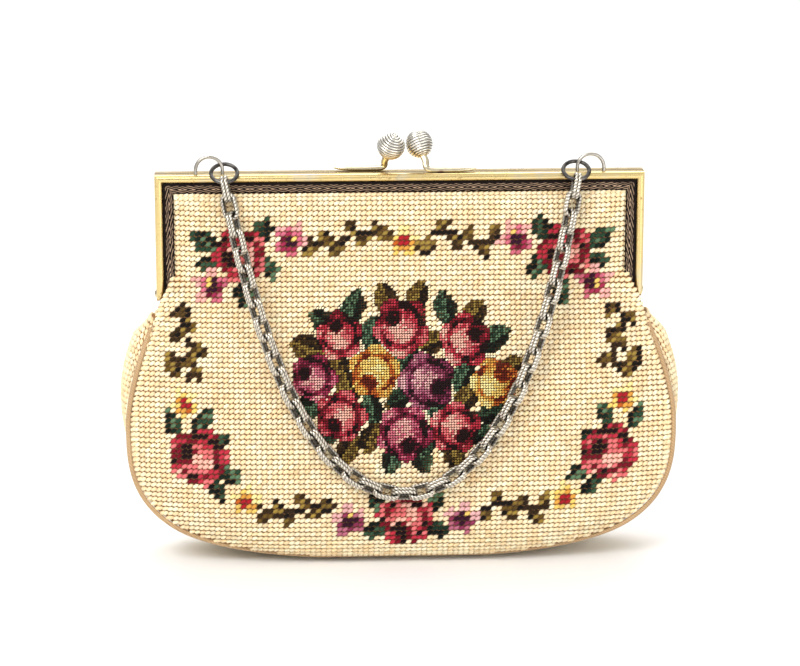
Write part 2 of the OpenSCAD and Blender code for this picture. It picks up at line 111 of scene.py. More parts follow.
class Finish:
    # a material with one principled shader; constants go straight on its sockets
    def __init__(self, name, **constants):
        self.material = bpy.data.materials.new(name)
        self.material.use_nodes = True
        self.tree = self.material.node_tree
        self.tree.nodes.clear()
        self.shader = self.tree.nodes.new("ShaderNodeBsdfPrincipled")
        output = self.tree.nodes.new("ShaderNodeOutputMaterial")
        self.tree.links.new(self.shader.outputs[0], output.inputs[0])
        self.into(**constants)

    def node(self, kind, inputs=None, outlet=0, **settings):
        made = self.tree.nodes.new(kind)
        for key, value in settings.items():
            setattr(made, key, value)
        for key, value in (inputs or {}).items():
            self.feed(made.inputs[key], value)
        return Wire(self, made.outputs[outlet])

    def feed(self, socket, value):
        if isinstance(value, Wire):
            self.tree.links.new(value.socket, socket)
        else:
            socket.default_value = value

    def into(self, **values):
        for socket, value in values.items():
            self.feed(self.shader.inputs[socket.replace("_", " ")], value)
        return self.material

    def place(self):
        return self.node("ShaderNodeTexCoord", outlet="Object")

    def axis(self, vector, letter):
        return self.node("ShaderNodeSeparateXYZ", {0: vector}, letter)

    def attribute(self, name, outlet="Fac"):
        return self.node("ShaderNodeAttribute", outlet=outlet, attribute_name=name)

    def noise(self, scale, detail=2.0, roughness=0.5, vector=None):
        vector = vector or self.place()
        inputs = {"Vector": vector, "Scale": scale, "Detail": detail, "Roughness": roughness}
        return self.node("ShaderNodeTexNoise", inputs)

    def ramp(self, factor, *stops):
        # two stops, each a place and a colour
        made = self.node("ShaderNodeValToRGB", {0: factor})
        for element, (place, colour) in zip(made.socket.node.color_ramp.elements, stops):
            element.position = place
            element.color = (*colour, 1)
        return made

    def mix(self, factor, a, b, how="MIX"):
        a, b = [(*c, 1) if isinstance(c, tuple) else c for c in (a, b)]
        return self.node("ShaderNodeMix", {0: factor, 6: a, 7: b}, 2, data_type="RGBA", blend_type=how)

    def spread(self, value, low, high):
        # 0 to 1 between low and high
        return self.node("ShaderNodeMapRange", {0: value, 1: low, 2: high}, clamp=True)

    def bump(self, height, distance, strength=1.0):
        return self.node("ShaderNodeBump", {"Height": height, "Distance": distance, "Strength": strength})


def woolFinish():
    f = Finish("wool", Roughness=0.9, Sheen_Weight=0.05, Sheen_Roughness=0.6, Specular_IOR_Level=0.1)
    strand = f.noise(scale=2600.0, detail=3.0)
    shade = f.ramp(strand, (0.3, (0.8, 0.78, 0.76)), (0.6, white))
    # random peach patches, a little darker: painted shade standing for light passing through the wool
    aged = f.ramp(f.noise(scale=90.0), (0.35, (0.97, 0.93, 0.87)), (0.6, white))
    colour = f.mix(1.0, f.attribute("wool", "Color"), shade, "MULTIPLY")
    colour = f.mix(1.0, colour, aged, "MULTIPLY")
    return f.into(Base_Color=colour, Normal=f.bump(strand, distance=0.00025, strength=0.7))


def canvasFinish():
    f = Finish("canvas ground", Roughness=0.95, Specular_IOR_Level=0.1)
    dark, light, shaded = tints["canvas"]
    # the brown ground is painted shade: it shows through the gaps between the stitches
    speck = f.noise(scale=900.0)
    # painted shade: the shade attribute darkens the canvas under the bouquet, between its fine stitches
    colour = f.mix(f.attribute("shade"), f.ramp(speck, (0.3, dark), (0.7, light)), shaded)
    return f.into(Base_Color=colour, Normal=f.bump(speck, distance=0.0003))


def satinFinish(name, dark, light):
    f = Finish(name, Sheen_Weight=0.2, Specular_IOR_Level=0.5)
    inputs = {"Vector": f.place(), "Scale": 420.0, "Distortion": 1.5, "Detail": 2.0}
    thread = f.node("ShaderNodeTexWave", inputs, wave_type="BANDS", bands_direction="DIAGONAL")
    cloud = f.noise(scale=60.0, detail=3.0)
    colour = f.mix(thread * 0.35 + cloud * 0.5, dark, light)
    normal = f.bump(thread, distance=0.00012, strength=0.5)
    return f.into(Base_Color=colour, Roughness=0.42 + cloud * 0.2, Normal=normal)


# wear and painted shade of the gilt, metres: half width of the painted shade in the gap where the halves
# meet, and a reddish stain on top
wearAndShade = {"seam": 0.0022, "noSeam": 0.0001, "seamWander": 0.0008,
        "stain": (0.018, -0.0035, 0.176), "stainCore": 0.0022, "stainEdge": 0.0034, "stainWander": 0.002}


def giltFinish(name, bright, seamHalf):
    f = Finish(name, Metallic=1.0)
    spotted, gapShade, rusty = tints["giltWearAndShade"]
    cloud = f.noise(scale=70.0, detail=5.0, roughness=0.65)
    spot = f.spread(f.noise(scale=330.0, detail=3.0), low=0.62, high=0.74)
    colour = f.mix(f.spread(cloud, low=0.52, high=0.72), bright, bareMetal)
    colour = f.mix(spot * 0.55, colour, spotted)
    # painted shade: a dark line along the closing plane, where the gap between the halves lies in shadow
    offset = f.node("ShaderNodeMath", {0: f.axis(f.place(), "Y")}, operation="ABSOLUTE")
    seam = 1.0 - f.spread(offset + cloud * wearAndShade["seamWander"], low=seamHalf * 0.5, high=seamHalf)
    colour = f.mix(seam * 0.85, colour, gapShade)
    away = f.node("ShaderNodeVectorMath", {0: f.place(), 1: wearAndShade["stain"]}, "Value", operation="DISTANCE")
    stain = 1.0 - f.spread(away + cloud * wearAndShade["stainWander"], wearAndShade["stainCore"], wearAndShade["stainEdge"])
    colour = f.mix(stain, colour, rusty)
    stretched = f.node("ShaderNodeMapping", {"Vector": f.place(), "Scale": (0.08, 1.0, 0.6)})
    scratch = f.bump(f.noise(scale=1500.0, vector=stretched), distance=0.00006, strength=0.35)
    rough = 0.2 + cloud * 0.16 + spot * 0.3 + seam * 0.2
    return f.into(Base_Color=colour, Roughness=rough, Normal=scratch)


def bandFinish():
    # the raised lines are rubbed bright, the ground stays dark
    f = Finish("oxidised band", Metallic=0.85)
    lift = f.attribute("lift")
    grime = f.noise(scale=260.0, detail=4.0)
    rubbed = f.spread(lift, low=0.5, high=1.0) * (0.4 + grime * 1.1)
    colour = f.mix(rubbed, *tints["band"])
    normal = f.bump(grime, distance=0.0001, strength=0.4)
    return f.into(Base_Color=colour, Roughness=0.62 - lift * 0.24, Normal=normal)


def silverFinish(name, tint):
    f = Finish(name, Metallic=1.0)
    recess = f.attribute("recess")
    cloud = f.noise(scale=240.0, detail=4.0)
    # recess darkens the silver: oxide in the chain's grooves, and painted shade with oxide on the links'
    # inner sides
    dark = f.spread(recess, low=0.3, high=0.75) * (0.8 + cloud * 0.4)
    colour = f.mix(dark, tint, silverRecess)
    return f.into(Base_Color=colour, Roughness=0.2 + cloud * 0.16 + recess * 0.25)


def ballFinish(name, centre, radius):
    # the turned grooves are dark, and the neck end keeps some gold
    f = Finish(name, Metallic=1.0)
    silver, gilded, groove = tints["ball"]
    offset = f.node("ShaderNodeVectorMath", {0: f.place(), 1: tuple(centre)}, operation="SUBTRACT")
    neck = 1.0 - f.spread(f.axis(offset, "Z"), low=radius * -0.85, high=radius * -0.25)
    cloud = f.noise(scale=320.0, detail=4.0)
    dark = f.spread(f.attribute("recess"), low=0.35, high=0.9)
    colour = f.mix(dark, f.mix(neck * 0.85, silver, gilded), groove)
    return f.into(Base_Color=colour, Roughness=0.14 + cloud * 0.16 + dark * 0.4)


def gunmetalFinish():
    f = Finish("gunmetal", Metallic=1.0)
    dark, light = tints["gunmetal"]
    cloud = f.noise(scale=300.0, detail=3.0)
    colour = f.ramp(cloud, (0.35, dark), (0.7, light))
    return f.into(Base_Color=colour, Roughness=0.24 + cloud * 0.15)


def floorFinish():
    f = Finish("pale floor", Roughness=0.7, Specular_IOR_Level=0.3)
    colour = f.ramp(f.noise(scale=3.0), (0.3, (0.86, 0.86, 0.86)), (0.7, (0.9, 0.9, 0.9)))
    return f.into(Base_Color=colour)


def ease(t):
    t = np.clip(t, 0, 1)
    return t * t * (3 - 2 * t)


def rolled(t):
    # falls from 1 to 0 as a quarter circle
    return np.sqrt(1 - np.clip(t, 0, 1) ** 2)


def unit(v):
    return v / np.maximum(np.linalg.norm(v, axis=-1, keepdims=True), 1e-12)


def lengthsAlong(points):
    return np.concatenate([[0], np.cumsum(np.linalg.norm(np.diff(points, axis=0), axis=1))])


def readAt(at, marks, table):
    # the values of a sampled curve at any of its marks
    return np.stack([np.interp(at, marks, column) for column in table.T], -1)


def normalToward(row, up, toward):
    # unit normal of a surface, on the side that toward points to
    out = unit(np.cross(row, up))
    return out * np.sign((out * toward).sum(-1, keepdims=True) + 1e-9)


# shape of the pouch, millimetres
pouch = {
    "width": 244, "shoulderWidth": 217, "widest": 65, "sidePower": 1.6, "depth": 44, "deepest": 45,
    "puff": 9, "framePuff": 6, "puffFrom": 15, "puffOver": 40, "topRoll": 10, "baseRoll": 28,
    "cornerPower": 3, "low": 2.6, "cornerEnd": 80,
    "shoulder": hinge.z - 8.1, "frontShoulder": hinge.z - 2.4, "drop": 4,
    "gussetSwell": 2, "shoulderSwell": 8, "shoulderRise": 45,
}
crownForm = {"power": 4, "gain": 5, "below": 22, "over": 30}  # panels are squarer near the frame
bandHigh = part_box("front_band")[1] / mm
bandWidth = 4.8
tuck, tuckGap = 1.6, 0.2  # cloth hidden behind the band
tuckDepth = -bandHigh.y - tuckGap
tuckWidth = bandHigh.x - bandWidth + tuck
panelTop = bandHigh.z - bandWidth
liningInset = 2.9


def cornerCurve(angle):
    # a lower corner as x and z, from the widest place at 0 down to the base
    power = 2 / pouch["cornerPower"]
    fall = (pouch["widest"] - pouch["low"]) * np.sin(angle) ** power
    return pouch["width"] / 2 * np.cos(angle) ** power, pouch["widest"] - fall


seamBase = cornerCurve(math.radians(pouch["cornerEnd"]))[1]


def sideWidth(z):
    half, power, widest = pouch["width"] / 2, pouch["cornerPower"], pouch["widest"]
    fall = np.clip((widest - z) / (widest - pouch["low"]), 0, 1)
    below = half * np.maximum(0, 1 - fall ** power) ** (1 / power)
    rise = np.clip((z - widest) / (pouch["shoulder"] - widest), 0, 2)
    above = half - (pouch["width"] - pouch["shoulderWidth"]) / 2 * rise ** pouch["sidePower"]
    return np.where(z < widest, below, above)


def seamWidth(z, side):
    low = (pouch["frontShoulder"] if side < 0 else pouch["shoulder"]) - pouch["drop"]
    t = ease((z - low) / pouch["drop"])
    return sideWidth(np.minimum(z, low)) * (1 - t) + tuckWidth * t


# the front cloth bulges over the ends of the frame's legs: heights above the base and lengths, millimetres
lap = {"low": 104, "grow": 8, "over": 1.5, "shrinkFrom": 116, "shrink": 14, "start": 110, "level": 112,
       "fade": 122, "end": 133, "front": 9.2, "blend": 0.4}


def panelWidth(z, side):
    if side > 0:
        return seamWidth(z, side)
    t = ease((z - lap["start"]) / (lap["end"] - lap["start"]))
    over = lap["over"] * ease((z - lap["low"]) / lap["grow"])
    over = over * (1 - ease((z - lap["shrinkFrom"]) / lap["shrink"]))
    return sideWidth(np.minimum(z, lap["level"])) * (1 - t) + tuckWidth * t + over


def lapped(depth, z):
    # the cloth stays in front of the leg there
    t = 1 - ease((z - lap["fade"]) / (lap["end"] - lap["fade"]))
    front = tuckDepth + (lap["front"] - tuckDepth) * t
    return (depth + front + np.sqrt((depth - front) ** 2 + lap["blend"] * t)) / 2


def seamDepth(z):
    t = np.clip((hinge.z - z) / (hinge.z - pouch["deepest"]), 0, 1)
    return tuckDepth + (pouch["depth"] / 2 - tuckDepth) * np.sin(math.pi / 2 * t)


def swell(z):
    t = ease((z - pouch["widest"] - pouch["puffFrom"]) / pouch["puffOver"])
    puff = pouch["puff"] * (1 - t) + pouch["framePuff"] * t
    top = rolled((z - panelTop + pouch["topRoll"]) / pouch["topRoll"])
    return puff * top * rolled((seamBase + pouch["baseRoll"] - z) / pouch["baseRoll"])


def crown(u, z):
    above = z - pouch["shoulder"]
    flat = 1 - tuck * ease((above + pouch["drop"]) / pouch["drop"]) / tuckWidth
    power = crownForm["power"] + crownForm["gain"] * ease((above + crownForm["below"]) / crownForm["over"])
    return 1 - np.clip(np.abs(u) / flat, 0, 1) ** power


def panelPoint(u, z, side, inset=0.0):
    # u runs from -1 to 1 across a panel; side is -1 for the front and 1 for the back
    depth = seamDepth(z) + swell(z) * crown(u, z)
    isLining = inset == liningInset
    width = seamWidth(z, side) if isLining else panelWidth(z, side)
    if side < 0 and not isLining:
        depth = lapped(depth, z)
    return np.stack([u * width, side * (depth - inset), z + 0 * u], -1)


def panelFrame(u, z, side):
    # point, row direction, upward direction and outward normal on a panel
    du, dz = 1e-3, 0.05
    point = panelPoint(u, z, side)
    row = unit(panelPoint(u + du, z, side) - panelPoint(u - du, z, side))
    above, below = [panelPoint(point[:, 0] / panelWidth(h, side), h, side) for h in (z + dz, z - dz)]
    up = unit(above - below)
    return point, row, up, normalToward(row, up, (0, side, 0))


def linked(name, mesh, material, body=None):
    mesh.name = name
    piece = bpy.data.objects.new(name, mesh)
    bpy.context.scene.collection.objects.link(piece)
    mesh.materials.append(material)
    mesh.shade_smooth()
    if body:
        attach(piece, body)
    return piece


def meshFrom(bm):
    mesh = bpy.data.meshes.new("surface")
    bm.to_mesh(mesh)
    bm.free()
    return mesh


def gridMesh(across, up, mapping, weld=False):
    # a flat grid of -1 to 1 both ways, laid on a surface by mapping(a, b) in millimetres
    bm = bmesh.new()
    bmesh.ops.create_grid(bm, x_segments=across, y_segments=up, size=1)
    flat = np.array([v.co[:] for v in bm.verts])
    for v, co in zip(bm.verts, mapping(flat[:, 0], flat[:, 1]) * mm):
        v.co = co
    if weld:
        bmesh.ops.remove_doubles(bm, verts=bm.verts, dist=2e-6)
        bmesh.ops.recalc_face_normals(bm, faces=bm.faces)
    return meshFrom(bm)


def pointsOf(mesh):
    return np.array([v.co[:] for v in mesh.vertices]) / mm


def markPoints(mesh, name, values, kind="FLOAT", key="value"):
    layer = mesh.attributes.new(name, kind, "POINT")
    layer.data.foreach_set(key, np.asarray(values).astype(np.float32).ravel())


def thickened(piece, thickness):
    solid = piece.modifiers.new("thickness", "SOLIDIFY")
    solid.thickness = thickness * mm
    solid.offset = -1
    return piece


def faceOut(mesh, side):
    # an open sheet that mostly faces away from its side is turned over
    normals = np.zeros(len(mesh.polygons) * 3)
    mesh.polygons.foreach_get("normal", normals)
    if normals[1::3].sum() * side < 0:
        mesh.flip_normals()
    return mesh


def arraysOf(bm):
    # points and faces of a small mesh, which is then freed
    points = np.array([v.co[:] for v in bm.verts])
    faces = np.array([[v.index for v in f.verts] for f in bm.faces])
    bm.free()
    return points, faces


def copiesMesh(laid, faces):
    # laid holds every copy's points in metres
    first = laid.shape[1] * np.arange(len(laid))
    corners = (faces[None] + first[:, None, None]).reshape(-1, faces.shape[1])
    mesh = bpy.data.meshes.new("copies")
    mesh.from_pydata(laid.reshape(-1, 3), [], corners.tolist())
    return mesh


def padded(name, body, centre, along, across, out, size, colour):
    # one small wool pad for every stitch: size is half length, half width and half height
    bm = bmesh.new()
    bmesh.ops.create_icosphere(bm, subdivisions=1, radius=1)
    points, faces = arraysOf(bm)
    x, y, z = [points[None, :, k:k + 1] for k in range(3)]
    laid = centre[:, None] + (z * size[0] * along[:, None] + x * size[1] * across[:, None]
                              + y * size[2] * out[:, None])
    mesh = copiesMesh(laid * mm, faces)
    shown = np.concatenate([colour, np.ones((len(colour), 1))], 1)
    markPoints(mesh, "wool", np.repeat(shown, len(points), 0), "FLOAT_COLOR", "color")
    return linked(name, mesh, wool, body)


# wools, from the darkest to the palest of each family
wools = {
    "cream": [(252, 233, 194), (254, 240, 206), (250, 226, 182)],
    "pink": [(26, 3, 8), (116, 14, 32), (184, 46, 64), (226, 116, 118), (246, 190, 172)],
    "magenta": [(26, 4, 12), (102, 16, 43), (160, 46, 78), (206, 108, 128), (238, 178, 172)],
    "mauve": [(26, 6, 17), (86, 20, 47), (136, 52, 84), (180, 104, 126), (230, 178, 178)],
    "yellow": [(104, 28, 12), (186, 92, 34), (220, 158, 70), (240, 206, 112), (250, 234, 164)],
    "red": [(166, 30, 40)],
    "purple": [(52, 12, 36)],
    "green": [(5, 11, 8), (14, 32, 22), (38, 66, 47), (92, 122, 92)],
    "deepGreen": [(4, 8, 6), (10, 20, 15), (24, 46, 33), (52, 78, 56)],
    "olive": [(20, 12, 6), (54, 37, 14), (100, 76, 30), (154, 128, 60)],
    "brown": [(20, 12, 8), (46, 31, 16), (82, 62, 27), (124, 100, 45)],
}
wools = {name: np.array([screenColour(*c) for c in shades]) for name, shades in wools.items()}
sprigForm = {"leaves": 6, "stem": 1.3, "reach": 3.4, "leaf": 4.2, "spread": 42}  # millimetres, degrees


def creamWool(count):
    return wools["cream"][rng.integers(0, len(wools["cream"]), count)]


class Chart:
    # the stitch chart: motifs paint the stitches in them, and a tone counts up from the darkest wool
    def __init__(self, x, z):
        self.x, self.z = x, z
        self.colour = creamWool(len(x))
        self.covered = np.zeros(len(x), bool)

    def local(self, place, turn, size):
        # places seen from a motif, in shares of its size: upright, then turned with it
        dx, dz = (self.x - place[0]) / size, (self.z - place[1]) / size
        angle = math.radians(turn)
        c, s = math.cos(angle), math.sin(angle)
        return dx, dz, dx * c + dz * s, dz * c - dx * s

    def put(self, inside, tone, family):
        shades = wools[family]
        self.colour[inside] = shades[np.clip(tone[inside].astype(int), 0, len(shades) - 1)]
        self.covered |= inside

    def rose(self, place, radius, turn, family):
        # turn points from the middle of the rose to its dark heart
        dx, dz, a, b = self.local(place, turn, radius)
        reach, petals = np.hypot(a, b), np.cos(5 * np.arctan2(b, a) + 1.2)
        fromHeart, fromLight = np.hypot(1.2 * (a - 0.46), b), np.hypot(a + 0.26, b - 0.1)
        lip = (fromHeart < 0.5) & (a < 0.5)
        fold = (np.abs(np.hypot(a - 0.1, b) - 0.74) < 0.08) & (a < 0.4)
        parting = (reach > 0.6) & (petals < -0.5)
        rim = (reach > 0.82) & (petals > 0.1)
        tone = 4.4 - 3.0 * fromLight - 0.6 * dx - 0.3 * dz
        tone = tone + 0.8 * lip - 1.5 * fold - 1.1 * parting + 1.1 * rim
        tone = np.select([fromHeart < 0.27, fromHeart < 0.36], [0.0, 0.8], tone)
        tone = np.rint(tone + rng.normal(0, 0.3, len(a)))
        self.put(reach < 1 + 0.08 * petals, tone, family)

    def leaf(self, place, length, turn, family):
        # one half is dark, the other has pale veins
        _, _, a, b = self.local(place, turn, length)
        width = 0.64 * np.clip(1 - a * a, 0, 1) ** 0.8
        sideVein = (np.abs(np.sin(7 * a - 5 * np.abs(b))) > 0.86) & (b > 0)
        tone = np.where(b > -0.04, 2, 0.6)
        tone = np.where((np.abs(b) < 0.09) | sideVein, 2.9, tone)
        tone = np.rint(tone + rng.normal(0, 0.55, len(a)))
        self.put((np.abs(b) < width) & (np.abs(a) < 1), tone, family)

    def blossom(self, place, radius, turn, family, eye, seed=None):
        _, _, a, b = self.local(place, turn, radius)
        reach, petals = np.hypot(a, b), np.cos(5 * np.arctan2(b, a))
        tone = np.where(a > 0, 4, 3) - np.where(petals < -0.3, 1, 0) - np.where(reach < 0.55, 1, 0)
        self.put(reach < 0.86 + 0.2 * petals, tone, family)
        self.put(np.hypot(a + 0.05, b) < 0.38, np.zeros(len(a)), eye)
        if seed:
            self.put(np.hypot(a - 0.2, b + 0.12) < 0.2, np.full(len(a), 3), seed)

    def sprig(self, start, end, bow):
        start, end = np.array(start, float), np.array(end, float)
        run = np.linalg.norm(end - start)
        across = np.array([start[1] - end[1], end[0] - start[0]]) / run
        turn = math.degrees(math.atan2(end[1] - start[1], end[0] - start[0]))
        _, _, a, b = self.local(start, turn, run)
        stem = np.abs(b - bow / run * np.sin(math.pi * 2 * a)) < sprigForm["stem"] / run
        self.put((a > 0) & (a < 1) & stem, np.where(a > 0.5, 1, 0), "brown")
        for i in range(sprigForm["leaves"]):
            t, side = (i + 0.5) / sprigForm["leaves"], 1 if i % 2 else -1
            aside = bow * math.sin(2 * math.pi * t) + side * sprigForm["reach"]
            family = "olive" if i % 3 else "brown"
            spot = start + (end - start) * t + across * aside
            self.leaf(spot, sprigForm["leaf"], turn + side * sprigForm["spread"], family)


# motifs: place in millimetres from the middle of the base, size, heading in degrees and wools; the wreath's
# are those of one side, mirrored to the other
wreathMiddle = 1.0
wreathRoses = [((73, 140.5), 12, 200, "pink"), ((92.5, 51.5), 13, 160, "pink")]
wreathLeaves = [
    ((63, 151), 7, 110, "deepGreen"), ((88.5, 146), 7.5, 35, "green"), ((60, 134), 6, 250, "green"),
    ((71, 124), 7.5, 280, "green"), ((88, 137), 5.5, 340, "deepGreen"), ((104.5, 92.5), 6, 70, "olive"),
    ((104.5, 67), 6, 250, "green"), ((90.5, 68.5), 6, 300, "green"), ((84, 58.5), 6, 150, "deepGreen"),
    ((79, 43), 6.5, 210, "green"), ((84, 36), 5.5, 240, "deepGreen"), ((12.5, 30), 6, 40, "green"),
    ((14, 17), 6, 330, "deepGreen"),
]
wreathBlossoms = [
    ((50.5, 147), 8, 120, "magenta", "purple", "yellow"),
    ((86.5, 126.5), 8.5, 20, "magenta", "purple", "yellow"),
    ((99, 75.5), 6.8, 60, "yellow", "red", None), ((72, 31.5), 6.8, 100, "yellow", "red", None),
    ((25.5, 22), 7.8, 80, "mauve", "purple", "yellow"),
]
# sprigs: start, end and bow
wreathSprigs = [((9, 147), (44, 148), 3), ((95.5, 117), (98, 86), 3.5), ((33, 25), (66, 29), 2.5)]
# leaves of the bouquet in the order they are drawn: wool, then x, z, length and heading
bouquetLeaves = [
    ("green", [(-34.7, 110.3, 7, 150), (-21.6, 116.6, 7.5, 70), (-13.5, 105.3, 7, 80),
               (-41.9, 74.3, 7.5, 200), (-14, 73.4, 7, 100)]),
    ("deepGreen", [(-34.2, 62, 6.5, 210)]),
    ("green", [(-5.4, 50, 6.5, 260), (19.8, 116.1, 7, 100), (41.4, 102.6, 7.5, 30), (27.5, 87.3, 7, 60),
               (1.8, 95, 6.5, 60), (15.3, 72.5, 6.5, 120), (8.1, 50.4, 6.5, 290), (35, 61, 7, 330)]),
    ("deepGreen", [(40.1, 70.7, 7, 10)]),
    ("olive", [(-42.3, 99.5, 8, 160), (-6.8, 119.6, 7.5, 110), (-29.3, 91.4, 7, 80), (-25.2, 54.6, 7, 240),
               (-14.9, 59.9, 7, 250), (-3.2, 74.7, 6.5, 90), (7.2, 120.6, 7, 70), (32.4, 113, 7, 50),
               (14, 101.7, 6.5, 20), (28.4, 77.4, 7, 45), (22.5, 52.2, 7, 290), (49, 91, 6, 20),
               (-24.5, 83, 7.5, 110)]),
    ("deepGreen", [(-1, 78, 6, 30), (13, 60, 6, 80)]),
]
bouquetRoses = [
    ((-27.9, 104.4), 9.5, 110, "pink"), ((-40, 86.9), 9.5, 155, "magenta"),
    ((-12.6, 89.1), 10.5, 240, "yellow"), ((0, 108), 11.5, 135, "pink"), ((28.4, 102.2), 10.5, 30, "pink"),
    ((10.8, 84.6), 11.5, 335, "mauve"), ((41, 83.7), 10, 45, "yellow"), ((-27.9, 70), 10.5, 230, "pink"),
    ((0.5, 62.1), 11.5, 290, "magenta"), ((23.4, 64.4), 10.5, 315, "pink"),
]
leafFull, roseFull = 1.12, 1.06  # leaves and roses of the bouquet close up to each other


def mirrored(place, side):
    return wreathMiddle + side * place[0], place[1]


def heading(turn, side):
    return turn if side > 0 else 180 - turn


def drawWreath(chart):
    for side in (1, -1):
        for start, end, bow in wreathSprigs:
            chart.sprig(mirrored(start, side), mirrored(end, side), bow * side)
        for place, length, turn, family in wreathLeaves:
            chart.leaf(mirrored(place, side), length, heading(turn, side), family)
        for place, radius, turn, *families in wreathBlossoms:
            chart.blossom(mirrored(place, side), radius, heading(turn, side), *families)
        for place, radius, turn, family in wreathRoses:
            chart.rose(mirrored(place, side), radius, turn, family)
    chart.blossom((wreathMiddle, 146), 7, 90, "yellow", "red")
    chart.leaf((wreathMiddle - 9, 150), 5, 150, "olive")
    chart.leaf((wreathMiddle + 9, 143), 5, 330, "olive")
    chart.rose((wreathMiddle, 22.5), 12.5, 250, "pink")


def drawBouquet(chart):
    for family, leaves in bouquetLeaves:
        for x, z, length, turn in leaves:
            chart.leaf((x, z), length * leafFull, turn, family)
    for place, radius, turn, family in bouquetRoses:
        chart.rose(place, radius * roseFull, turn, family)


# stitches: pitch in millimetres, slant in degrees and its spread, room at a row's ends in pitches
stitch = {"row": 2.3, "column": 2.4, "slant": 31, "wobble": 3, "edge": 0.4,
          "rowSteps": 600, "columnSteps": 500}
# pads: half sizes and depth in the cloth, millimetres, and spread of brightness
coarse = {"size": (1.74, 1.06, 0.85), "sink": 0.3, "spread": 0.05}
fine = {"size": (0.72, 0.5, 0.5), "sink": 0.2, "spread": 0.1}


def spaced(at, points, pitch, centred=False):
    # values of at that lie at equal lengths along a sampled curve
    length = lengthsAlong(points)
    if centred:
        middle = length[-1] / 2
        count = int(middle / pitch) + 1
        edge = pitch * stitch["edge"]
        marks = np.clip(middle + pitch * np.arange(-count, count + 1), edge, length[-1] - edge)
    else:
        marks = np.arange(pitch / 2, length[-1], pitch)
    return np.interp(marks, length, at)


def stitchRows(rows, across, surface, pitch):
    # where the stitches lie along each row of a surface, and which row is theirs
    lines = [surface(np.full(len(across), row), across) for row in rows]
    places = [spaced(across, line, pitch, centred=True) for line in lines]
    return np.concatenate(places), np.repeat(rows, [len(along) for along in places])


def panelStitches(side):
    # u and z of every stitch of a panel
    z, u = np.linspace(seamBase, panelTop, stitch["rowSteps"]), np.linspace(-1, 1, stitch["columnSteps"])
    rows = spaced(z, panelPoint(0 * z, z, side), stitch["row"])
    return stitchRows(rows, u, lambda z, u: panelPoint(u, z, side), stitch["column"])


def slanted(row, up):
    angle = math.radians(stitch["slant"])
    c, s = math.cos(angle), math.sin(angle)
    return row * c + up * s, up * c - row * s


def varied(colour, amount):
    return np.clip(colour * (1 + rng.normal(0, amount, (len(colour), 1))), 0, 1)


def stitched(name, body, u, z, side, colour, pad):
    colour = varied(colour, pad["spread"])
    point, row, up, out = panelFrame(u, z, side)
    wobble = rng.normal(0, stitch["wobble"], len(u))[:, None]
    along, across = slanted(row * -side, up)
    along = unit(along + across * np.radians(wobble))
    across = unit(np.cross(out, along))
    return padded(name, body, point - out * pad["sink"], along, across, out, pad["size"], colour)


# the sheets under the stitches: cells, share of even spacing upwards, and crowding to the sides
weave = {"across": 80, "up": 60, "even": 0.35, "sides": 0.75}


def panelSheet(side, inset, low):
    def lay(a, b):
        t = (b + 1) / 2
        z = low + (panelTop + tuck - low) * (weave["even"] * t + (1 - weave["even"]) * ease(t))
        return panelPoint(np.sign(a) * np.abs(a) ** weave["sides"], z, side, inset)
    return faceOut(gridMesh(weave["across"], weave["up"], lay), side)


wool, canvas = woolFinish(), canvasFinish()
# canvas behind the stitches, millimetres, and how strong the painted shade on it is under the bouquet
panel = {"inset": 0.75, "thickness": 1.6, "shade": 0.9}


def frontPanel():
    mesh = panelSheet(-1, panel["inset"], seamBase)
    corners = pointsOf(mesh)
    under = Chart(corners[:, 0], corners[:, 2])
    drawBouquet(under)
    # painted shade on the canvas under the bouquet
    markPoints(mesh, "shade", under.covered * panel["shade"])
    ground = linked("frontCanvas", mesh, canvas, "bag")
    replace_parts(thickened(ground, panel["thickness"]), "front_panel")
    u, z = panelStitches(-1)
    x = u * panelWidth(z, -1)
    chart = Chart(x, z)
    drawWreath(chart)
    # a stitch of the bouquet is worked as four fine ones
    dx, dz = stitch["column"] / 4, stitch["row"] / 4
    quarters = [Chart(x + i * dx, z + j * dz) for i in (-1, 1) for j in (-1, 1)]
    for quarter in quarters:
        drawBouquet(quarter)
    split = sum(quarter.covered.astype(int) for quarter in quarters) >= 2
    plain = ~split
    stitches = stitched("frontStitches", "bag", u[plain], z[plain], -1, chart.colour[plain], coarse)
    fineU = np.concatenate([(quarter.x / panelWidth(quarter.z, -1))[split] for quarter in quarters])
    fineZ = np.concatenate([quarter.z[split] for quarter in quarters])
    colour = np.concatenate([quarter.colour[split] for quarter in quarters])
    bouquet = stitched("frontBouquet", "bag", fineU, fineZ, -1, colour, fine)
    print("front stitches:", int(plain.sum()), "and fine ones:", len(fineU))


def backPanel():
    mesh = panelSheet(1, panel["inset"], seamBase)
    ground = thickened(linked("backCanvas", mesh, canvas), panel["thickness"])
    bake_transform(ground)
    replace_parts(ground, "back_panel", "back_panel_top")
    u, z = panelStitches(1)
    chart = Chart(u * panelWidth(z, 1), z)
    drawWreath(chart)
    stitches = stitched("backStitches", None, u, z, 1, chart.colour, coarse)
    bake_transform(stitches)
    print("back stitches:", len(u))


# number of points on each stretch of the seam, and along all of it
seamSteps = {"shoulder": 12, "side": 60, "corner": 80, "even": 400}


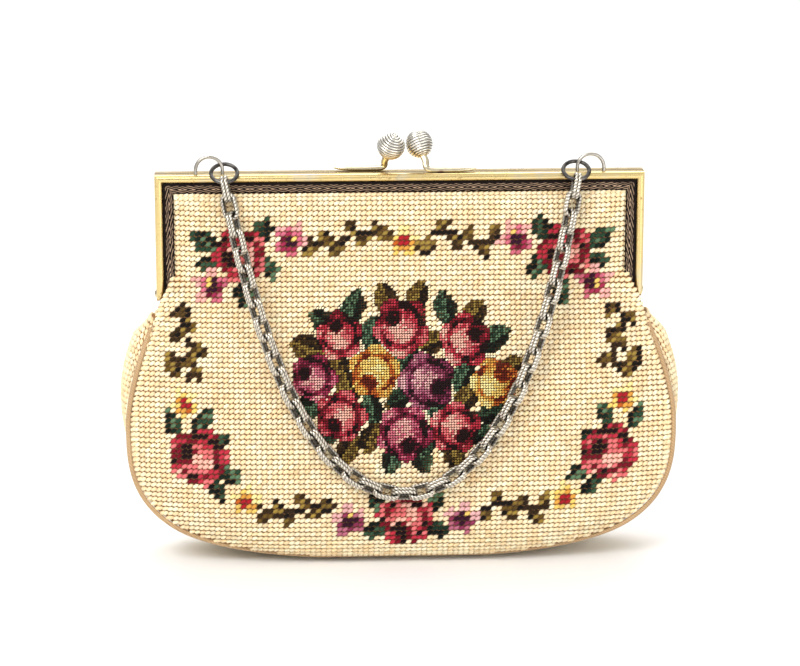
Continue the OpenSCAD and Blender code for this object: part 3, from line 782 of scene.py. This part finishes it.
def seamLine():
    # from the right shoulder under the base to the left one: lengths, points and outward normals
    top = pouch["shoulder"] - pouch["drop"]
    over = np.linspace(pouch["shoulder"], top, seamSteps["shoulder"])[:-1]
    z = np.linspace(top, pouch["widest"], seamSteps["side"])[:-1]
    angle = np.radians(np.linspace(0, pouch["cornerEnd"], seamSteps["corner"]))
    stretches = [(seamWidth(over, 1), over), (sideWidth(z), z), cornerCurve(angle)]
    right = np.concatenate([np.column_stack(stretch) for stretch in stretches])
    line = np.concatenate([right, right[::-1] * (-1, 1)])
    length = lengthsAlong(line)
    marks = np.linspace(0, length[-1], seamSteps["even"])
    even = readAt(marks, length, line)
    along = unit(np.gradient(even, axis=0))
    return marks, even, np.column_stack([-along[:, 1], along[:, 0]])


seamMarks, seamPoints, seamNormals = seamLine()


def seamAt(s):
    # x, z and outward normal at s, which runs from 0 to 1 along the seam
    at = np.clip(s, 0, 1) * seamMarks[-1]
    x, z = readAt(at, seamMarks, seamPoints).T
    return x, z, unit(readAt(at, seamMarks, seamNormals))


# the strip between the seams, millimetres: it stands out over its flat middle share, and less at the top
strip = {"flat": 0.3, "power": 2.2, "topLoss": 0.45, "narrow": 0.3, "inset": 1.1, "thickness": 1.2,
         "sink": 0.8, "along": 180, "across": 16, "steps": 81}


def gussetPoint(s, a, inset=0.0, narrow=strip["narrow"]):
    # a runs from -1 at the front seam to 1 at the back one
    x, z, n = seamAt(s)
    top = pouch["shoulder"] - pouch["drop"] - pouch["topRoll"]
    rise = seamBase + (pouch["gussetSwell"] - seamBase) * ease((z - seamBase) / pouch["baseRoll"])
    rise = rise + (pouch["shoulderSwell"] - rise) * ease((z - pouch["deepest"]) / pouch["shoulderRise"])
    rise = rise * (1 - strip["topLoss"] * ease((z - top) / pouch["topRoll"]))
    rise = rise * (1 - ease((z - top - pouch["topRoll"]) / pouch["drop"]))
    edge = np.clip((np.abs(a) - strip["flat"]) / (1 - strip["flat"]), 0, 1)
    lift = rise * (1 - edge ** strip["power"]) - inset
    return np.stack([x + n[:, 0] * lift, a * (seamDepth(z) - narrow), z + n[:, 1] * lift], -1)


def gusset():
    mesh = gridMesh(strip["along"], strip["across"],
                    lambda a, b: gussetPoint((a + 1) / 2, b, strip["inset"]))
    lowest = min(mesh.polygons, key=lambda face: face.center.z)
    if lowest.normal.z > 0:
        mesh.flip_normals()
    ground = linked("gussetCanvas", mesh, canvas, "bag")
    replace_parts(thickened(ground, strip["thickness"]), "gusset")
    count = int(seamMarks[-1] / stitch["column"])
    rows = (np.arange(count) + 0.5) / count
    a, s = stitchRows(rows, np.linspace(-1, 1, strip["steps"]), gussetPoint, stitch["row"])
    ds, da = 1e-3, 5e-3
    row = unit(gussetPoint(s + ds, a) - gussetPoint(s - ds, a))
    up = unit(gussetPoint(s, a + da) - gussetPoint(s, a - da))
    _, _, n = seamAt(s)
    out = normalToward(row, up, np.column_stack([n[:, 0], 0 * s, n[:, 1]]))
    along, _ = slanted(row, up)
    across = unit(np.cross(out, along))
    colour = varied(creamWool(len(s)), coarse["spread"])
    centre = gussetPoint(s, a) - out * strip["sink"]
    stitches = padded("gussetStitches", "bag", centre, along, across, out, coarse["size"], colour)
    print("gusset stitches:", len(s))


# satin cord in a seam, millimetres: it slips behind the panel at the top and is tucked up at the base
piping = {"radius": 1.1, "offset": 0.2, "top": 108.5, "slip": 1.6, "slipFrom": 88,
          "under": 1.0, "underTo": 16, "end": 0.01, "along": 220, "around": 12}


def pipingCord(name, node, side, material):
    first = seamMarks[np.argmax(seamPoints[:, 1] < piping["top"])] / seamMarks[-1]

    def lay(a, b):
        x, z, n = seamAt(first + (1 - 2 * first) * (a + 1) / 2)
        r = piping["radius"] * rolled((np.abs(a) - 1 + piping["end"]) / piping["end"])
        under = piping["under"] * (1 - ease((z - seamBase) / piping["underTo"]))
        slip = piping["slip"] * ease((z - piping["slipFrom"]) / (piping["top"] - piping["slipFrom"]))
        out = piping["radius"] + piping["offset"] - under + r * np.cos(math.pi * b)
        y = side * (seamDepth(z) - piping["radius"] / 2 - slip - under) + r * np.sin(math.pi * b)
        return np.stack([x + n[:, 0] * out, y, z + n[:, 1] * out], -1)

    mesh = gridMesh(piping["along"], piping["around"], lay, weld=True)
    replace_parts(linked(name, mesh, material, "bag"), node)


# satin inside the pouch, millimetres
lining = {"low": 4.6, "thickness": 0.6, "narrow": 4.0, "along": 120, "across": 10}


def linings(material):
    low = seamBase + lining["low"]
    front = linked("frontLining", panelSheet(-1, liningInset, low), material, "bag")
    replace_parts(thickened(front, lining["thickness"]), "front_lining")
    back = linked("backLining", panelSheet(1, liningInset, low), material)
    thickened(back, lining["thickness"])
    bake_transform(back)
    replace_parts(back, "back_lining", "top_lining")
    mesh = gridMesh(lining["along"], lining["across"],
                    lambda a, b: gussetPoint((a + 1) / 2, b, liningInset, lining["narrow"]))
    side = linked("gussetLining", mesh, material, "bag")
    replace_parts(thickened(side, lining["thickness"]), "gusset_lining")


# engraved band, millimetres: nested long lozenges between two plain edges
engraving = {"period": 15.0, "lines": 4, "relief": 0.35, "rimEdge": 1.1, "clothEdge": 0.3, "step": 0.3,
             "lipFrom": 0.25, "lip": 0.3, "across": 16, "thickness": 0.6}


def engravedHeight(run, across):
    # 0 to 1, with run along the band and across it; across is 0 in the middle
    low, high = -bandWidth / 2 + engraving["clothEdge"], bandWidth / 2 - engraving["rimEdge"]
    half, middle = (high - low) / 2, (high + low) / 2
    phase = np.abs((run / engraving["period"]) % 1 - 0.5) * 2
    field = (phase + np.abs(across - middle) / half) * engraving["lines"] / 2
    wave = 1 - np.abs((field % 1) * 2 - 1)
    plain = np.where(across > high + engraving["lipFrom"], engraving["lip"], 0)
    return np.where((across > low) & (across < high), ease(wave), plain)


def band(name, node, side, body, material):
    low, high = [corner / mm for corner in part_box(node)]
    face = max(abs(low.y), abs(high.y))
    inner = high.x - bandWidth

    def relief(run, across):
        return side * (face - engraving["relief"] * (1 - engravedHeight(run, across)))

    def bar(a, b):
        across = b * bandWidth / 2
        x = a * (inner + (across + bandWidth / 2))
        return np.stack([x, relief(x, across), high.z - bandWidth / 2 + across], -1)

    def leg(sign):
        def lay(a, b):
            across = b * bandWidth / 2
            end = high.z - bandWidth + across + bandWidth / 2
            z = low.z + (a + 1) / 2 * (end - low.z)
            return np.stack([sign * (inner + bandWidth / 2 + across), relief(z - end, across), z], -1)
        return lay

    runs = [(2 * high.x, bar), (high.z - low.z, leg(1)), (high.z - low.z, leg(-1))]
    bm = bmesh.new()
    for length, lay in runs:
        part = gridMesh(int(length / engraving["step"]), engraving["across"], lay)
        bm.from_mesh(faceOut(part, side))
        bpy.data.meshes.remove(part)
    bmesh.ops.remove_doubles(bm, verts=bm.verts, dist=1e-6)
    mesh = meshFrom(bm)
    markPoints(mesh, "lift", 1 - (face - np.abs(pointsOf(mesh)[:, 1])) / engraving["relief"])
    piece = linked(name, mesh, material, body)
    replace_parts(thickened(piece, engraving["thickness"]), node)


# twisted wire of the handle's links, millimetres; links turn by so many degrees within so much of the top
link = {"length": 12.4, "width": 7.2, "wire": 1.5, "visible": 1.95, "strands": 2, "twists": 18,
        "groove": 0.3, "grooveDark": 0.75, "innerShadeAndOxide": 0.66, "turn": 45, "turnOver": 36,
        "along": 96, "around": 9}


def twistedLink():
    # one oval ring lying in the XY plane: recess values, points and faces
    arc = (link["width"] - link["wire"]) / 2
    straight = (link["length"] - link["width"]) / 2
    bowl = math.pi * arc
    whole = 4 * straight + 2 * bowl
    bm = bmesh.new()
    bmesh.ops.create_grid(bm, x_segments=link["along"], y_segments=link["around"], size=1)
    a, b = np.array([v.co[:2] for v in bm.verts]).T
    s, turn = (a + 1) / 2 * whole, math.pi * b
    # the wire runs along one side, round the right end, back along the other side and round the left end
    ends = [2 * straight, 2 * straight + bowl, 4 * straight + bowl]
    sections = [s < end for end in ends]
    right, left, zero = (s - ends[0]) / arc, (s - ends[2]) / arc, 0 * s
    core = np.select(sections, [s - straight, zero + straight, straight - (s - ends[1])], -straight)
    outX = np.select(sections, [zero, np.sin(right), zero], -np.sin(left))
    outY = np.select(sections, [zero - 1, -np.cos(right), zero + 1], np.cos(left))
    lobe = 0.5 + 0.5 * np.cos(link["strands"] * turn + 2 * math.pi * link["twists"] * s / whole)
    radius = link["visible"] / 2 * (1 - link["groove"] * (1 - lobe))
    reach = arc + radius * np.cos(turn)
    laid = np.stack([core + outX * reach, outY * reach, radius * np.sin(turn)], -1)
    # darker on the sides facing the link's middle: painted shade where the links hide each other, with
    # oxide; the grooves between the strands hold oxide
    inner = ease(0.35 - 1.3 * np.cos(turn))
    recess = np.maximum(link["grooveDark"] * (1 - lobe), link["innerShadeAndOxide"] * inner)
    layer = bm.verts.layers.float.new("recess")
    for v, co, value in zip(bm.verts, laid, recess):
        v.co = co
        v[layer] = value
    bmesh.ops.remove_doubles(bm, verts=bm.verts, dist=0.002)
    bmesh.ops.recalc_face_normals(bm, faces=bm.faces)
    bm.verts.index_update()
    recess = np.array([v[layer] for v in bm.verts])
    return recess, *arraysOf(bm)


def ringsOf(node):
    # points of every loose ring in a node
    bm = bmesh.new()
    bm.from_mesh(nodes[node].data)
    bmesh.ops.remove_doubles(bm, verts=bm.verts, dist=2e-6)
    seen, rings = set(), []
    for first in bm.verts:
        if first in seen:
            continue
        group, todo = [], [first]
        seen.add(first)
        while todo:
            v = todo.pop()
            group.append(v.co[:])
            for edge in v.link_edges:
                other = edge.other_vert(v)
                if other not in seen:
                    seen.add(other)
                    todo.append(other)
        rings.append(np.array(group))
    bm.free()
    return rings


def ringPlace(ring):
    # middle of one ring, with its long, short and thin directions as rows; the long one runs to the right
    middle = ring.mean(0)
    _, _, axes = np.linalg.svd(ring - middle)
    axes[0] *= np.sign(axes[0, 0])
    axes[2] = np.cross(axes[0], axes[1])
    span = (ring - middle) @ axes.T
    return middle + ((span.max(0) + span.min(0)) / 2) @ axes, axes


def handleChain(material):
    recess, points, faces = twistedLink()
    laid = []
    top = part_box("chain")[1].z / mm
    places = [ringPlace(ring) for ring in ringsOf("chain")]
    middles = np.array([middle for middle, _ in places])
    for middle, axes in places:
        apart = np.linalg.norm(middles - middle, axis=1)
        pair = middles[np.argsort(apart)[:2]].mean(0)  # two rings hang side by side
        turn = link["turn"] * ease((top - pair[2] / mm) / link["turnOver"])
        twist = np.array(Matrix.Rotation(math.radians(turn), 3, Vector(axes[0])))
        laid.append(pair + twist @ (middle - pair) + points * mm @ (axes @ twist.T))
    mesh = copiesMesh(np.array(laid), faces)
    markPoints(mesh, "recess", np.tile(recess, len(laid)))
    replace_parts(linked("handleChain", mesh, material, "handle"), "chain")
    print("chain rings:", len(laid))


# kiss lock, millimetres: each ball's axis leans from its arm's neck over to the other half
clasp = {"lean": Vector((-3.8, 5.08, 10.2)), "rings": 15, "groove": 0.42, "around": 48, "down": 136,
         "middle": 2.3, "square": 0.6, "tip": 0.02, "armAlong": 90, "armAround": 16}


def turnedBall(name, node, turn, body):
    low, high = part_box(node)
    centre, radius = (low + high) / 2 / mm, (high.x - low.x) / 2 / mm
    tilt = np.array(Vector((0, 0, 1)).rotation_difference(turn @ clasp["lean"]).to_matrix())

    def grooves(polar):
        return 1 - np.abs(np.sin(clasp["rings"] * polar))

    def lay(a, b):
        polar, around = (b + 1) / 2 * math.pi, a * math.pi
        r = radius - clasp["groove"] * grooves(polar)
        flat = r * np.sin(polar)
        ball = np.stack([flat * np.cos(around), flat * np.sin(around), r * np.cos(polar)], -1)
        return ball @ tilt.T + np.array(centre)

    mesh = gridMesh(clasp["around"], clasp["down"], lay, weld=True)
    away = (pointsOf(mesh) - np.array(centre)) @ tilt
    polar = np.arccos(np.clip(away[:, 2] / np.linalg.norm(away, axis=1), -1, 1))
    markPoints(mesh, "recess", grooves(polar))
    silver = ballFinish(name + " silver", centre * mm, radius * mm)
    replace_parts(linked(name, mesh, silver, body), node)


def softened(points, rounds=3):
    # corner cutting makes a smooth path of a few points
    for _ in range(rounds):
        near, far = 0.75 * points[:-1] + 0.25 * points[1:], 0.25 * points[:-1] + 0.75 * points[1:]
        between = np.stack([near, far], 1).reshape(-1, points.shape[1])
        points = np.concatenate([points[:1], between, points[-1:]])
    return points


def claspArm(name, node, half, body, material):
    # a flat bar on the frame's top that turns up into a round neck; half is 1 or -1 for the two halves
    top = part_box("front_frame")[1].z / mm
    # rows: distance from the clasp's middle, distance from the closing plane, height, width, thickness
    route = softened(np.array([
        [31.8, 2.68, top + 1.6, 1.4, 0.9], [30, 2.68, top + 1.4, 3.0, 1.5],
        [25, 2.68, top + 1.12, 4.2, 2.1], [13, 2.68, top + 1.12, 4.2, 2.1],
        [10.2, 2.68, top + 1.3, 3.8, 2.3], [9.1, 2.4, top + 2.6, 3.4, 3.0],
        [9.3, 1.3, top + 4.6, 3.2, 3.2], [7.9, -0.4, top + 7.4, 3.2, 3.2]]))
    step = np.linspace(-1, 1, len(route))
    slopes = unit(np.gradient(route[:, :3], axis=0))

    def lay(a, b):
        x, y, z, wide, thick = readAt(a, step, route).T
        along = unit(readAt(a, step, slopes))
        sideways = unit(np.array([0, 1, 0]) - along * along[:, 1:2])
        normal = np.cross(along, sideways)
        turn = math.pi * b
        c, s = [np.sign(w) * np.abs(w) ** clasp["square"] for w in (np.cos(turn), np.sin(turn))]
        end = np.where(np.abs(a) == 1, clasp["tip"], 1)
        spot = np.stack([x, y, z], -1) + sideways * (wide / 2 * c * end)[:, None]
        spot = spot + normal * (thick / 2 * s * end)[:, None]
        return spot * [half, -half, 1] + [clasp["middle"], 0, 0]

    mesh = gridMesh(clasp["armAlong"], clasp["armAround"], lay, weld=True)
    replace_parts(linked(name, mesh, material, body), node)


def dress(material, *names):
    for name in names:
        nodes[name].data.materials.clear()
        nodes[name].data.materials.append(material)


frontPanel()
backPanel()
gusset()
cordSatin = satinFinish("satin piping", *tints["piping"])
pipingCord("frontPiping", "front_piping", -1, cordSatin)
pipingCord("backPiping", "back_piping", 1, cordSatin)
linings(satinFinish("satin lining", *tints["lining"]))
print("cloth done")

darkBand = bandFinish()
band("frontBand", "front_band", -1, "bag", darkBand)
band("backBand", "back_band", 1, "back_frame", darkBand)
handleChain(silverFinish("aged silver chain", chainSilver))
dress(giltFinish("worn gilt frame", gold, wearAndShade["seam"]), "front_frame", "back_frame")
gilt = giltFinish("worn pale gilt", paleGold, wearAndShade["noSeam"])
dress(gilt, "left_rivet", "right_rivet")
dress(silverFinish("aged silver wire", wireSilver), "left_bail", "right_bail")
dress(gunmetalFinish(), "left_ring", "right_ring")
claspArm("frontClaspArm", "front_clasp_arm", 1, "bag", gilt)
claspArm("backClaspArm", "back_clasp_arm", -1, "back_frame", gilt)
turnedBall("frontClaspBall", "front_clasp_ball", Matrix.Identity(3), "bag")
turnedBall("backClaspBall", "back_clasp_ball", Matrix.Rotation(math.pi, 3, "Z"), "back_frame")
print("metal done")

# floor, lights, sky and camera; metres and watts
middle = (0, 0, 0.09)
studio = {"floor": 12.0, "skyLow": 0.35, "skyHigh": 0.85, "skyRise": 0.7}
# name, place, target, size and power of each light
lamps = [
    ("key", (-0.55, -0.9, 1.0), middle, 0.7, 13.0), ("fill", (0.75, -1.0, 0.32), middle, 0.9, 5.0),
    ("rim", (0.1, 0.7, 1.1), middle, 0.8, 5.0), ("back", (0, 4.5, 3.5), (0, 4.5, 0), 5.0, 150.0),
]
view = {"place": (-0.064, -1.208, 0.375), "target": (0.0, 0.0, 0.1015), "lens": 122.5,
        "near": 0.05, "far": 30}


def aimed(name, data, place, target):
    holder = bpy.data.objects.new(name, data)
    bpy.context.scene.collection.objects.link(holder)
    holder.location = place
    holder.rotation_euler = (Vector(target) - Vector(place)).to_track_quat("-Z", "Y").to_euler()
    return holder


def paleSky():
    # the sky is brighter overhead than at the horizon
    world = bpy.data.worlds.new("studio")
    bpy.context.scene.world = world
    world.use_nodes = True
    tree = world.node_tree
    facing = tree.nodes.new("ShaderNodeTexCoord")
    parts = tree.nodes.new("ShaderNodeSeparateXYZ")
    dome = tree.nodes.new("ShaderNodeMapRange")
    dome.inputs["From Max"].default_value = studio["skyRise"]
    dome.inputs["To Min"].default_value = studio["skyLow"]
    dome.inputs["To Max"].default_value = studio["skyHigh"]
    tree.links.new(facing.outputs["Generated"], parts.inputs[0])
    tree.links.new(parts.outputs["Z"], dome.inputs["Value"])
    tree.links.new(dome.outputs[0], tree.nodes["Background"].inputs["Strength"])
    tree.nodes["Background"].inputs["Color"].default_value = (*white, 1)


floor = gridMesh(2, 2, lambda a, b: np.stack([a, b, 0 * a], -1) * studio["floor"] / mm)
linked("floor", floor, floorFinish())
for name, place, target, size, power in lamps:
    lamp = bpy.data.lights.new(name, "AREA")
    lamp.size = size
    lamp.energy = power
    aimed(name, lamp, place, target)
paleSky()
camera = aimed("camera", bpy.data.cameras.new("camera"), view["place"], view["target"])
camera.data.lens = view["lens"]
camera.data.clip_start = view["near"]
camera.data.clip_end = view["far"]
bpy.context.scene.camera = camera
bpy.context.scene.view_settings.view_transform = "Standard"
print("studio done")
